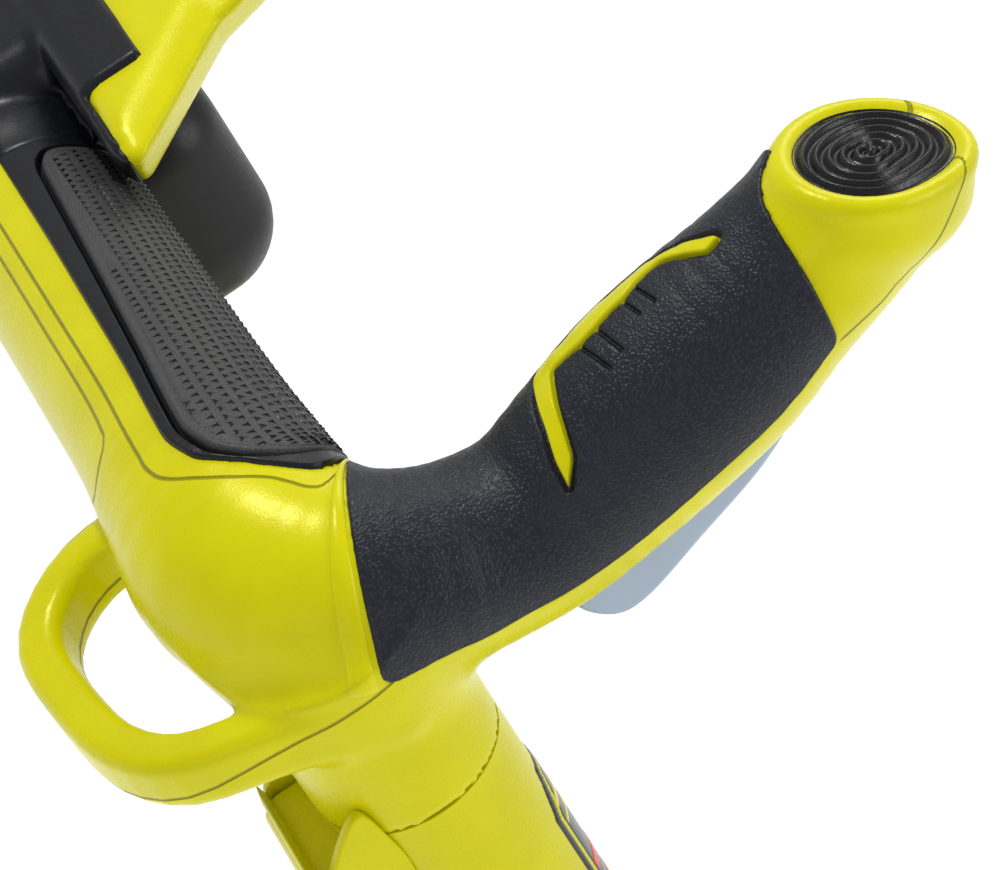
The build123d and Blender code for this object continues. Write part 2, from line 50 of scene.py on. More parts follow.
# ---------------------------------------------------------------- the handle's local frame
UP_AXIS = Vector(JOINTS["handle_extend"]["axis"]).normalized()      # k
FORWARD = Vector((0.0, UP_AXIS.z, -UP_AXIS.y))                      # g
TUBE_X = JOINTS["right_cam_open"]["pos_m"][0]
LEVER_PIVOT = (92.0, -15.0)                                         # g, k in mm
HEAD = Vector(JOINTS["right_lever_squeeze"]["pos_m"])
HEAD = HEAD - FORWARD * LEVER_PIVOT[0] / 1000 - UP_AXIS * LEVER_PIVOT[1] / 1000
TO_ROW = np.array([[1, 0, 0], list(FORWARD), list(UP_AXIS)]) / 1000.0
TILT = math.atan2(FORWARD.z, FORWARD.y)
WORLD_UP = np.array([0.0, math.sin(TILT), math.cos(TILT)])          # in x, g, k


def to_row(points, side=1):
    """Local millimetres to row metres, on the right (side 1) or mirrored to the left (-1)."""
    p = np.asarray(points, float) @ TO_ROW
    p = p + np.array(HEAD)
    p[:, 0] *= side
    return p


# ---------------------------------------------------------------- fields: signed distance, mm
def catmull(points, step):
    """A smooth curve through the points, sampled about every step."""
    p = np.asarray(points, float)
    p = np.vstack([2 * p[0] - p[1], p, 2 * p[-1] - p[-2]])
    out = []
    for i in range(1, len(p) - 2):
        a, b, c, d = p[i - 1:i + 3]
        n = max(2, int(np.linalg.norm((c - b)[:3]) / step))
        t = (np.arange(n) / n)[:, None]
        out.append(0.5 * (2 * b + (c - a) * t + (2 * a - 5 * b + 4 * c - d) * t**2
                          + (3 * b - a - 3 * c + d) * t**3))
    return np.vstack(out + [p[-2:-1]])


def smooth_min(a, b, r):
    h = np.clip(0.5 + 0.5 * (b - a) / r, 0, 1)
    return b + (a - b) * h - r * h * (1 - h)


def smooth_max(a, b, r):
    return -smooth_min(-a, -b, r)


class Spine:
    """A tube of changing radius along a curve, with the place along it and the angle round it."""

    def __init__(self, rows, start=0.0, step=4.0):
        c = catmull(rows, step)
        self.c, self.r = c[:, :3], c[:, 3]
        seg = np.diff(self.c, axis=0)
        self.length = start + np.concatenate([[0], np.cumsum(np.linalg.norm(seg, axis=1))])

    def nearest(self, p):
        """Distance to the tube's skin, length along the spine, and the offset from the spine."""
        best = np.full(len(p), 1e9)
        s = np.zeros(len(p))
        off = np.zeros((len(p), 3))
        for i in range(len(self.c) - 1):
            a, b = self.c[i], self.c[i + 1]
            ab = b - a
            t = np.clip((p - a) @ ab / (ab @ ab), 0, 1)
            v = p - a - t[:, None] * ab
            d = np.sqrt((v * v).sum(1)) - (self.r[i] + t * (self.r[i + 1] - self.r[i]))
            m = d < best
            best[m] = d[m]
            s[m] = (self.length[i] + t * (self.length[i + 1] - self.length[i]))[m]
            off[m] = v[m]
        return best, s, off


# ---------------------------------------------------------------- the head's moulded form, mm
BAR = (-2.5, -2.5)                       # g, k of the crossbar's axis
SPINE_START = -50.0                      # s at its first point; the collar covers it to s = -25
SPINE = Spine([                          # x, g, k, radius from the console to the horn's end
    (-166, *BAR, 20.6), (-116, *BAR, 20.6), (-90, *BAR, 20.6), (-60, *BAR, 20.9),
    (-38, -3, -3.8, 22.4), (-19, -2.5, -7, 24.4), (-5, 6, -11, 23.4), (0, 18, -14, 20.2),
    (0, 31, -18.5, 18.4), (0, 46, -20.5, 18.0), (0, 61, -17, 19.4), (0, 76, -12.8, 20.6),
    (0, 90, -9.6, 20.4), (0, 104, -5.5, 18.6), (0, 118, -1.5, 17.6), (0, 130, 2, 16.4)],
    SPINE_START)
LOOP = Spine([                           # the D-shaped loop under the elbow
    (-49, -10, -12, 1), (-54.5, -27, -14, 1), (-51, -40, -16, 1), (-40, -47.5, -17, 1),
    (-22, -47, -18, 1), (-6, -43.5, -19, 1), (5, -35, -19.5, 1), (10.5, -20, -20, 1),
    (14, -7, -21.5, 1), (15, 4, -24, 1)])
LOOP_HALF = (4.8, 6.9, 3.2)              # half its width and height, and its corners' radius
THUMB = np.array([0.0, 134.0, 9.0])      # centre of the thumb pad's rim
SOCKET_R, SOCKET_K, RING_K = 20.0, -12.0, -50.8   # the tube socket: radius, top, bottom
PAD_R = 17.7                             # radius of the ring round the thumb pad
RING_R, RING_DROP = 2.1, 0.9             # that ring's own radius and its depth
PUCK_R, PUCK_DEPTH, PUCK_HALF, PUCK_ROUND = 13.8, 6.0, 2.0, 5.4   # the bulb under the pad


def thumb_frame(p):
    """Across, along and above the thumb pad's plane."""
    v = p - THUMB
    along = np.array([0.0, WORLD_UP[2], -WORLD_UP[1]])
    return v[:, 0], v @ along, v @ WORLD_UP


def loop_field(p):
    """The loop's bar: a rounded box carried along its line."""
    _, _, off = LOOP.nearest(p)
    wide = np.hypot(off[:, 0], off[:, 1]) - LOOP_HALF[0] + LOOP_HALF[2]
    tall = np.abs(off[:, 2]) - LOOP_HALF[1] + LOOP_HALF[2]
    outer = np.hypot(np.maximum(wide, 0), np.maximum(tall, 0))
    return outer + np.minimum(np.maximum(wide, tall), 0) - LOOP_HALF[2]


def egg(phi):
    """How the thumb pad's outline departs from a circle, by direction."""
    return 1 + 0.11 * np.cos(2 * phi + 1.05) + 0.02 * np.cos(3 * phi - 0.6)


def core(p):
    """The lime body of the head: bar, elbow, horn, bulb, socket and loop, all blended."""
    d, _, _ = SPINE.nearest(p)
    x, y, z = thumb_frame(p)
    ring = np.hypot(x, y) / egg(np.arctan2(x, y))
    deep = np.maximum(np.abs(z + PUCK_DEPTH) - PUCK_HALF, 0)
    puck = np.hypot(np.maximum(ring - PUCK_R, 0), deep) - PUCK_ROUND
    d = smooth_min(d, puck, 7.0)
    d = smooth_max(d, z + 0.6, 2.0)
    rim = np.hypot(ring - PAD_R, z + RING_DROP) - RING_R
    d = smooth_min(d, rim, 2.0)
    socket = np.maximum(np.hypot(p[:, 0], p[:, 1]) - SOCKET_R, p[:, 2] - SOCKET_K)
    d = smooth_min(d, socket, 9.0)
    d = smooth_min(d, loop_field(p), 3.0)
    return np.maximum(d, RING_K - p[:, 2])


# ---------------------------------------------------------------- meshing
COARSE = 4                               # grid steps to a cell of the first, rough pass
REACH = 1.9                              # how many rough cells away the field is still worked out
FAR = 1e3


def surface_net(field, low, high, step):
    """Vertices and quads of the field's zero surface on a grid."""
    axes = [np.arange(low[i], high[i] + step, step) for i in range(3)]
    shape = tuple(len(a) for a in axes)
    grid = np.stack(np.meshgrid(*axes, indexing="ij"), -1).reshape(-1, 3)
    few = tuple(a[::COARSE] for a in axes)
    few_shape = tuple(len(a) for a in few)
    rough = field(np.stack(np.meshgrid(*few, indexing="ij"), -1).reshape(-1, 3)).reshape(few_shape)
    keep = np.zeros(shape, bool)
    for cell in np.argwhere(np.abs(rough) < COARSE * step * REACH):
        keep[tuple(slice(max(i - 1, 0) * COARSE, (i + 1) * COARSE + 1) for i in cell)] = True
    f = np.repeat(np.repeat(np.repeat(rough, COARSE, 0), COARSE, 1), COARSE, 2)
    f = np.where(f[:shape[0], :shape[1], :shape[2]] < 0, -FAR, FAR)
    f[keep] = field(grid[keep.ravel()])
    total = np.zeros(tuple(n - 1 for n in shape) + (3,))
    count = np.zeros(tuple(n - 1 for n in shape))
    index = np.stack(np.meshgrid(*[np.arange(n - 1) for n in shape], indexing="ij"), -1)
    inside = f < 0
    for axis in range(3):
        others = [i for i in range(3) if i != axis]
        for u in (0, 1):
            for v in (0, 1):
                start = [0, 0, 0]
                start[others[0]], start[others[1]] = u, v
                end = list(start)
                end[axis] += 1
                a = tuple(slice(s, s + n - 1) for s, n in zip(start, shape))
                b = tuple(slice(s, s + n - 1) for s, n in zip(end, shape))
                cut = inside[a] != inside[b]
                t = f[a][cut] / (f[a][cut] - f[b][cut])
                place = index[cut] + np.array(start, float)
                place[:, axis] += t
                total[cut] += place
                count[cut] += 1
    used = count > 0
    number = np.full(used.shape, -1)
    number[used] = np.arange(used.sum())
    verts = total[used] / count[used][:, None] * step + np.array([a[0] for a in axes])
    quads = []
    for axis in range(3):
        u, v = [(1, 2), (2, 0), (0, 1)][axis]
        lower = [slice(1, n - 1) for n in shape]
        lower[axis] = slice(0, shape[axis] - 1)
        upper = list(lower)
        upper[axis] = slice(1, shape[axis])
        a, b = inside[tuple(lower)], inside[tuple(upper)]
        at = np.argwhere(a != b) + np.array([s.start for s in lower])
        out = a[a != b]
        corners = []
        for du, dv in ((1, 1), (0, 1), (0, 0), (1, 0)):
            c = at.copy()
            c[:, u] -= du
            c[:, v] -= dv
            corners.append(number[tuple(c.T)])
        q = np.stack(corners, 1)
        q[~out] = q[~out][:, ::-1]
        quads.append(q)
    quads = np.vstack(quads)
    return verts, quads[(quads >= 0).all(1)]


def gradient(field, p, h=0.25):
    g = np.empty_like(p)
    for i in range(3):
        e = np.zeros(3)
        e[i] = h
        g[:, i] = field(p + e) - field(p - e)
    return g / np.maximum(np.linalg.norm(g, axis=1), 1e-9)[:, None]


def settle(field, p, offset=0.0, rounds=3):
    """Moves points onto the surface where field equals offset."""
    offset = np.broadcast_to(np.asarray(offset, float), len(p))
    for _ in range(rounds):
        p = p - gradient(field, p) * (field(p) - offset)[:, None]
    return p


# ---------------------------------------------------------------- surface places: s along, a round
HORN_S = 122.0                           # where the grip's overmould starts
GRIP_A = 105.0                           # its lower edges, degrees either side of the top
ARC = 19.0 * math.pi / 180               # mm of surface to a degree


def spine_at(s):
    """Point and direction on the spine."""
    def at(x):
        return np.column_stack([np.interp(x, SPINE.length, SPINE.c[:, i]) for i in range(3)])
    start, end = SPINE.length[0], SPINE.length[-1]
    t = at(np.clip(s + 4, start, end)) - at(np.clip(s - 4, start, end))
    return at(s), t / np.linalg.norm(t, axis=1)[:, None]


def wrap(s, a, lift=0.0, rounds=9):
    """Points on the moulded surface, lifted off it by lift mm."""
    s, a, lift = [x.ravel().astype(float) for x in np.broadcast_arrays(s, a, lift)]
    c, t = spine_at(s)
    n = WORLD_UP - (t @ WORLD_UP)[:, None] * t
    n /= np.linalg.norm(n, axis=1)[:, None]
    a = np.radians(a)[:, None]
    d = np.cos(a) * n + np.sin(a) * np.cross(t, n)
    r = np.interp(s, SPINE.length, SPINE.r)
    for _ in range(rounds):
        r = r + 0.85 * (lift - core(c + r[:, None] * d))
    return c + r[:, None] * d


def place(p):
    """Length along the spine and angle round it, for points near the surface."""
    _, s, _ = SPINE.nearest(p)
    for _ in range(10):
        c, t = spine_at(s)
        s = np.clip(s + 0.5 * np.clip(((p - c) * t).sum(1), -3, 3), SPINE.length[0] - 3,
                    SPINE.length[-1] + 3)
    c, t = spine_at(s)
    n = WORLD_UP - (t @ WORLD_UP)[:, None] * t
    n /= np.linalg.norm(n, axis=1)[:, None]
    off = p - c
    return s, np.degrees(np.arctan2((off * np.cross(t, n)).sum(1), (off * n).sum(1)))


def outline_distance(u, v, points):
    """Signed distance to a closed outline, negative inside."""
    pts = np.asarray(points, float)
    best = np.full(np.shape(u), 1e9)
    inside = np.zeros(np.shape(u), bool)
    for (x0, y0), (x1, y1) in zip(pts, np.roll(pts, -1, 0)):
        ex, ey = x1 - x0, y1 - y0
        t = np.clip(((u - x0) * ex + (v - y0) * ey) / (ex * ex + ey * ey + 1e-12), 0, 1)
        best = np.minimum(best, np.hypot(u - x0 - t * ex, v - y0 - t * ey))
        flip = ((y0 > v) != (y1 > v)) & (u < (x1 - x0) * (v - y0) / (y1 - y0 + 1e-12) + x0)
        inside ^= flip
    return np.where(inside, -best, best)


def line_distance(u, v, points):
    """Signed distance to an open line."""
    best = np.full(np.shape(u), 1e9)
    sign = np.ones(np.shape(u))
    for (x0, y0), (x1, y1) in zip(points[:-1], points[1:]):
        ex, ey = x1 - x0, y1 - y0
        t = np.clip(((u - x0) * ex + (v - y0) * ey) / (ex * ex + ey * ey), 0, 1)
        d = np.hypot(u - x0 - t * ex, v - y0 - t * ey)
        nearer = d < best
        best = np.where(nearer, d, best)
        sign = np.where(nearer, np.sign((u - x0) * ey - (v - y0) * ex + 1e-9), sign)
    return best * sign


def divided(points, step):
    """A closed outline with more points along its sides, about every step."""
    out = []
    for a, b in zip(points, np.roll(points, -1, 0)):
        n = max(1, int(np.hypot(*(b - a)) / step))
        out.append(a + (b - a) * (np.arange(n) / n)[:, None])
    return np.vstack(out)


def rounded(points, step=1.5):
    """An outline of (s, angle) corners as a smooth closed curve of (s, arc)."""
    p = divided(np.asarray(points, float) * [1, ARC], step)
    for _ in range(2):
        p = 0.5 * p + 0.25 * np.roll(p, 1, 0) + 0.25 * np.roll(p, -1, 0)
    return p


def ease(x):
    x = np.clip(x, 0, 1)
    return x * x * (3 - 2 * x)


def sheet_grid(nu, nv, wrap_u=False):
    """Quads of a grid of nu by nv points, closed in u if asked."""
    i, j = np.meshgrid(np.arange(nu if wrap_u else nu - 1), np.arange(nv - 1), indexing="ij")
    i, j = i.ravel(), j.ravel()
    i2 = (i + 1) % nu
    return np.stack([i * nv + j, i2 * nv + j, i2 * nv + j + 1, i * nv + j + 1], 1)


def snap(u, v, outline, reach):
    """Moves the points within reach of the outline onto it."""
    d = outline_distance(u, v, outline)
    near = np.abs(d) < reach
    h = 0.05
    du = (outline_distance(u[near] + h, v[near], outline) - d[near]) / h
    dv = (outline_distance(u[near], v[near] + h, outline) - d[near]) / h
    size = np.maximum(np.hypot(du, dv), 0.5)
    u[near] -= d[near] * du / size
    v[near] -= d[near] * dv / size
    d[near] = 0
    return d


def offset(outline, d):
    """The outline drawn in by d mm."""
    t = np.roll(outline, -2, 0) - np.roll(outline, 2, 0)
    t /= np.linalg.norm(t, axis=1)[:, None] + 1e-9
    x, y = outline.T
    turn = np.sign(np.sum(x * np.roll(y, -1) - np.roll(x, -1) * y))
    return outline + d * turn * np.column_stack([-t[:, 1], t[:, 0]])


def grid_over(outline, step):
    """Points of a square grid snapped to the outline, their distances, and the grid's quads."""
    low, high = outline.min(0) - step, outline.max(0) + step
    u, v = np.meshgrid(np.arange(low[0], high[0] + step, step),
                       np.arange(low[1], high[1] + step, step), indexing="ij")
    quads = sheet_grid(*u.shape)
    u, v = u.ravel(), v.ravel()
    return u, v, snap(u, v, outline, 0.5 * step), quads


RING_STEPS = (0, 0.06, 0.14, 0.25, 0.4, 0.6, 0.8, 1.0)   # closer together at the very edge
TUCK = 0.14                              # mm that a patch's middle runs on under its rings
ON_EDGE = 0.01


def region(outline, lift, step=0.45, rim=1.0, hole=None, hole_rim=0.0):
    """A skin patch over the outline, its rolled edge in rings that follow the outline.

    lift gives the height over the skin from the place and the distance inside the edge.
    """
    parts = []
    for edge, width in ((outline, rim), (hole, -hole_rim)):
        if edge is None or not width:
            continue
        rings = [offset(edge, width * t) for t in RING_STEPS]
        uv = np.stack(rings, 1).reshape(-1, 2)
        d = -outline_distance(uv[:, 0], uv[:, 1], outline)
        f = sheet_grid(len(edge), len(rings), True)
        x, y = edge.T
        out = np.sum(x * np.roll(y, -1) - np.roll(x, -1) * y) * width > 0
        parts.append((wrap(uv[:, 0], uv[:, 1] / ARC, lift(uv[:, 0], uv[:, 1], d)),
                      f[:, ::-1] if out else f))
    u, v, d, f = grid_over(offset(outline, rim - TUCK), step)
    keep = (d[f] < ON_EDGE).all(1)
    if hole is not None:
        keep &= (snap(u, v, offset(hole, TUCK - hole_rim), 0.5 * step)[f] > -ON_EDGE).all(1)
    f = f[keep]
    used, f = np.unique(f, return_inverse=True)
    u, v = u[used], v[used]
    d = -outline_distance(u, v, outline)
    parts.append((wrap(u, v / ARC, lift(u, v, d)), f.reshape(-1, 4)[:, ::-1]))
    return parts


# ---------------------------------------------------------------- objects
def build(name, parts, node, slot, body, look=None, sides=(1, -1), smooth=True, attributes=None):
    """One object from (points, faces) parts in local mm, on the right, left or both sides.

    node is the CAD node that it replaces, and look its material where that isn't the slot's.
    """
    verts, faces, shift = [], [], 0
    for side in sides:
        for p, f in parts:
            verts.append(to_row(p, side))
            f = np.asarray(f)
            faces.extend(((f if side > 0 else f[:, ::-1]) + shift).tolist())
            shift += len(p)
    mesh = bpy.data.meshes.new(name)
    mesh.from_pydata(np.vstack(verts).tolist(), [], faces)
    mesh.polygons.foreach_set("use_smooth", [smooth] * len(mesh.polygons))
    for key, values in (attributes or {}).items():
        layer = mesh.attributes.new(key, "FLOAT", "POINT")
        layer.data.foreach_set("value", np.tile(values, len(sides)).astype(np.float32))
    mesh.update()
    obj = bpy.data.objects.new(name, mesh)
    bpy.context.scene.collection.objects.link(obj)
    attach(obj, body)
    if node:
        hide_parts(node)
    dress(obj, look or slot)


# ---------------------------------------------------------------- materials
def nodes_of(name):
    mat = bpy.data.materials.new(name)
    mat.use_nodes = True
    tree = mat.node_tree
    return mat, tree, tree.nodes["Principled BSDF"]


def noise(tree, scale, detail=2.0, rough=0.5):
    at = tree.nodes.new("ShaderNodeTexCoord")
    n = tree.nodes.new("ShaderNodeTexNoise")
    n.inputs["Scale"].default_value = scale
    n.inputs["Detail"].default_value = detail
    n.inputs["Roughness"].default_value = rough
    tree.links.new(at.outputs["Object"], n.inputs["Vector"])
    return n.outputs["Fac"]


def ramp(tree, value, low, high, out_low, out_high):
    m = tree.nodes.new("ShaderNodeMapRange")
    tree.links.new(value, m.inputs["Value"])
    for key, x in (("From Min", low), ("From Max", high), ("To Min", out_low), ("To Max", out_high)):
        m.inputs[key].default_value = x
    return m.outputs["Result"]


COLOUR_IN, COLOUR_OUT = (6, 7), 2        # a Mix node's sockets for colours


def mix(tree, factor, a, b):
    m = tree.nodes.new("ShaderNodeMix")
    m.data_type = "RGBA"
    tree.links.new(factor, m.inputs["Factor"])
    for socket, x in zip(COLOUR_IN, (a, b)):
        if isinstance(x, tuple):
            m.inputs[socket].default_value = (*x, 1)
        else:
            tree.links.new(x, m.inputs[socket])
    return m.outputs[COLOUR_OUT]


def bump(tree, height, strength, distance, under=None):
    b = tree.nodes.new("ShaderNodeBump")
    b.inputs["Strength"].default_value = strength
    b.inputs["Distance"].default_value = distance
    tree.links.new(height, b.inputs["Height"])
    if under is not None:
        tree.links.new(under, b.inputs["Normal"])
    return b.outputs["Normal"]


def moulded(name, colour, rough, grain=2400.0, depth=0.00004, strength=0.5, spec=0.5,
            tint=(1.0, 1.0, 1.0)):
    """Injection-moulded plastic with a fine spark texture and slight colour variation."""
    mat, tree, bsdf = nodes_of(name)
    shade = tuple(c * 0.93 for c in colour)
    tree.links.new(mix(tree, ramp(tree, noise(tree, 60.0), 0.35, 0.65, 0.0, 1.0), colour, shade),
                   bsdf.inputs["Base Color"])
    tree.links.new(ramp(tree, noise(tree, grain * 0.5, 3.0), 0.3, 0.7, rough - 0.05, rough + 0.07),
                   bsdf.inputs["Roughness"])
    fine = bump(tree, noise(tree, grain, 2.0, 0.6), strength, depth)
    tree.links.new(bump(tree, noise(tree, 22.0, 1.0), 0.12, 0.0006, fine), bsdf.inputs["Normal"])
    bsdf.inputs["Specular IOR Level"].default_value = spec
    bsdf.inputs["Specular Tint"].default_value = (*tint, 1)
    return mat


def engraved(mat, colour, lines, wide=0.5):
    """Fine lines cut into a material where the mesh's attributes give their distance in mm; inside the lines the
    colour is darkened as painted shade.
    """
    tree = mat.node_tree
    bsdf = tree.nodes["Principled BSDF"]

    def math_node(kind, a, b=None):
        n = tree.nodes.new("ShaderNodeMath")
        n.operation = kind
        for i, x in enumerate((a, b)):
            if isinstance(x, (int, float)):
                n.inputs[i].default_value = x
            elif x is not None:
                tree.links.new(x, n.inputs[i])
        return n.outputs[0]

    def attribute(key):
        n = tree.nodes.new("ShaderNodeAttribute")
        n.attribute_name = key
        return n.outputs["Fac"]

    groove_and_painted_shade = None
    for key in lines:
        depth = ramp(tree, math_node("ABSOLUTE", attribute(key)), 0.1, wide, 1.0, 0.0)
        cut = math_node("MULTIPLY", depth, attribute(key + "_on"))
        groove_and_painted_shade = cut if groove_and_painted_shade is None else math_node("MAXIMUM", groove_and_painted_shade, cut)
    under = bsdf.inputs["Normal"].links[0].from_socket
    tree.links.new(bump(tree, math_node("SUBTRACT", 1.0, groove_and_painted_shade), 0.9, 0.0005, under),
                   bsdf.inputs["Normal"])
    base = bsdf.inputs["Base Color"].links[0].from_socket
    # painted shade: the colour inside the grooves is darkened towards the given dark colour
    tree.links.new(mix(tree, math_node("MULTIPLY", groove_and_painted_shade, 0.8), base, colour),
                   bsdf.inputs["Base Color"])
    return mat


def rubber(name, colour, painted_highlight, rough, grain=1500.0, depth=0.00012):
    """Soft overmoulded rubber with a pebbled grain: its tops are raised by bump and lightened towards a second,
    lighter colour as a painted highlight.
    """
    mat, tree, bsdf = nodes_of(name)
    at = tree.nodes.new("ShaderNodeTexCoord")
    cells = tree.nodes.new("ShaderNodeTexVoronoi")
    cells.feature = "SMOOTH_F1"
    cells.inputs["Scale"].default_value = grain
    cells.inputs["Smoothness"].default_value = 0.6
    tree.links.new(at.outputs["Object"], cells.inputs["Vector"])
    pebble_tops_and_painted_highlight = ramp(tree, cells.outputs["Distance"], 0.1, 0.55, 1.0, 0.0)
    # painted highlight: the pebbles' tops are coloured lighter, as if they caught the light
    tree.links.new(mix(tree, pebble_tops_and_painted_highlight, colour, painted_highlight), bsdf.inputs["Base Color"])
    tree.links.new(ramp(tree, noise(tree, grain * 0.4, 3.0), 0.3, 0.7, rough - 0.06, rough + 0.1),
                   bsdf.inputs["Roughness"])
    low = bump(tree, noise(tree, grain * 0.9, 3.0, 0.6), 0.5, depth)
    tree.links.new(bump(tree, pebble_tops_and_painted_highlight, 0.7, depth, low), bsdf.inputs["Normal"])
    bsdf.inputs["Specular IOR Level"].default_value = 0.36
    return mat


def metal(name, colour, rough, stretch=(1.0, 60.0, 60.0), scale=30.0, dirt=None):
    """Worked metal: drawn or ground lines, uneven sheen and some grime."""
    mat, tree, bsdf = nodes_of(name)
    at = tree.nodes.new("ShaderNodeTexCoord")
    along = tree.nodes.new("ShaderNodeMapping")
    along.inputs["Scale"].default_value = stretch
    n = tree.nodes.new("ShaderNodeTexNoise")
    n.inputs["Scale"].default_value = scale
    n.inputs["Detail"].default_value = 5.0
    tree.links.new(at.outputs["Object"], along.inputs["Vector"])
    tree.links.new(along.outputs["Vector"], n.inputs["Vector"])
    tree.links.new(ramp(tree, n.outputs["Fac"], 0.25, 0.75, rough - 0.09, rough + 0.12),
                   bsdf.inputs["Roughness"])
    spots = ramp(tree, noise(tree, 45.0, 6.0, 0.6), 0.48, 0.72, 0.0, 0.75)
    tree.links.new(mix(tree, spots, colour, dirt or tuple(c * 0.7 for c in colour)),
                   bsdf.inputs["Base Color"])
    tree.links.new(bump(tree, n.outputs["Fac"], 0.25, 0.00004), bsdf.inputs["Normal"])
    bsdf.inputs["Metallic"].default_value = 1.0
    return mat


def painted(name, colour, rough, chip):
    """Powder-coated steel: orange peel, and wear where edges are sharp."""
    mat, tree, bsdf = nodes_of(name)
    convex = tree.nodes.new("ShaderNodeNewGeometry").outputs["Pointiness"]
    wear = ramp(tree, convex, 0.53, 0.6, 0.0, 0.5)
    tree.links.new(mix(tree, wear, colour, chip), bsdf.inputs["Base Color"])
    tree.links.new(ramp(tree, noise(tree, 350.0, 3.0), 0.3, 0.7, rough - 0.06, rough + 0.08),
                   bsdf.inputs["Roughness"])
    tree.links.new(bump(tree, noise(tree, 700.0, 2.0), 0.35, 0.00008), bsdf.inputs["Normal"])
    return mat


LIME = ((0.69, 0.655, 0.0015), 0.27, 2300.0, 0.00006, 0.7, 0.4, (1.0, 0.94, 0.3))
MATS = {
    "lime_plastic": moulded("lime plastic", *LIME),
    # The lined materials darken their parting lines and flex grooves as painted shade.
    "lime_lined": engraved(moulded("lime plastic with parting lines", *LIME),
                           (0.17, 0.16, 0.001), ("seam", "panel", "edge", "tail"), 0.42),
    "charcoal_plastic": moulded("charcoal plastic", (0.007, 0.007, 0.0095), 0.4, spec=0.32),
    "black_trim": moulded("black trim", (0.004, 0.0045, 0.007), 0.34, 2000.0, 0.00005, 0.6, 0.32),
    # In each rubber the second colour is a painted highlight on the grain's tops.
    "grip_lined": engraved(rubber("grip rubber with flex grooves", (0.0062, 0.008, 0.0155),
                                  (0.015, 0.019, 0.03), 0.42, 1500.0, 0.00018),
                           (0.001, 0.001, 0.001), ("flex_a", "flex_b")),
    "pad_rubber": rubber("pad rubber", (0.04, 0.04, 0.041), (0.065, 0.065, 0.066), 0.45, 2600.0,
                         0.00008),
    "thumb_rubber": rubber("thumb rubber", (0.003, 0.003, 0.0035), (0.006, 0.006, 0.007), 0.26,
                           2600.0, 0.00003),
    "lever_grey": moulded("blue-grey lever", (0.36, 0.44, 0.56), 0.34, 2400.0, 0.00003),
    "button_plastic": moulded("start button", (0.62, 0.06, 0.03), 0.3, 2600.0, 0.00002),
    "label_film": moulded("label film", (0.012, 0.012, 0.016), 0.22, 3000.0, 0.00001, 0.2),
    "black_steel": painted("powder-coated steel", (0.012, 0.012, 0.013), 0.4, (0.2, 0.2, 0.21)),
    "bright_steel": metal("bright steel", (0.62, 0.63, 0.65), 0.24),
    "zinc_steel": metal("zinc-plated steel", (0.55, 0.55, 0.52), 0.34, (20, 20, 20), 20.0,
                        (0.35, 0.34, 0.28)),
    "blade_steel": metal("blade steel", (0.42, 0.43, 0.45), 0.3, (1.0, 50.0, 50.0), 40.0,
                         (0.18, 0.15, 0.11)),
    "motor_can": metal("motor can", (0.32, 0.33, 0.35), 0.36, (1.0, 90.0, 90.0), 25.0),
    "pulley_alloy": metal("pulley alloy", (0.58, 0.59, 0.6), 0.32, (1.0, 80.0, 80.0), 30.0),
    # The belt's and tyre's second colours are painted highlights on their grain's tops.
    "belt_rubber": rubber("belt rubber", (0.012, 0.012, 0.013), (0.02, 0.02, 0.021), 0.62, 1600.0),
    "tyre_rubber": rubber("tyre rubber", (0.017, 0.017, 0.018), (0.028, 0.028, 0.028), 0.62, 900.0),
    "battery_plastic": moulded("battery plastic", (0.03, 0.032, 0.036), 0.4, 1800.0, 0.00008, 0.8),
    "red_print": moulded("red print", (0.75, 0.06, 0.015), 0.3, 3000.0, 0.00001, 0.2),
    "orange_print": moulded("orange print", (0.8, 0.2, 0.01), 0.3, 3000.0, 0.00001, 0.2),
}


def dress(obj, key, bevel=0.0):
    """One finished material on the whole object, and softened edges."""
    obj.data.materials.clear()
    obj.data.materials.append(MATS[key])
    if bevel:
        m = obj.modifiers.new("softened edges", "BEVEL")
        m.width = bevel / 1000
        m.segments = 2
        m.limit_method = "ANGLE"
        m.angle_limit = math.radians(35)


# ---------------------------------------------------------------- the head's lime shells
GRIP = rounded([(HORN_S, GRIP_A), (132, 103), (146, 101.5), (158, 102), (169, 105), (195, 106.5),
                (212, 108.5), (221, 107), (225.7, 61.5), (228, 33), (229.6, 11), (231.2, -1),
                (234, -11), (238, -18), (236, -34), (230, -50), (225, -75),
                (221, -107), (195, -106), (158, -101), (146, -101), (HORN_S, -105)])
EDGE_LINE = [(-52, 49), (34, 48.8), (75, 48), (84, 46), (88.5, 39), (94.5, 23.6), (103.4, 9),
             (115, 3), (119, -16)]
PANEL_LINE = [(-52, 60), (27, 60), (62, 60), (67, 62), (69, 68), (70.4, 88.5), (66, 106),
              (60, 126), (56, 140)]
TAIL_LINE = [(100, -10.5), (111, -9.7), (120, -8.9), (130, -5.3), (138, -0.8), (144, 2.2),
             (152, 6.0)]                 # g, k of the parting line round the bulb
TAIL_START = 109.5
GRIP_SINK, PAD_SINK = 1.7, 2.6           # how far the shells draw back under grip and pad, mm
ELBOW_S = 119.0                          # where the pad's frame gives way to the horn
LOWER_A = 104.0                          # the horn's parting line, degrees round


def seam_height(p):
    """Height of a point over the parting surface between the upper and lower shells."""
    return p[:, 2] - (-14.6 - 0.059 * p[:, 0] + 0.18 * p[:, 1])


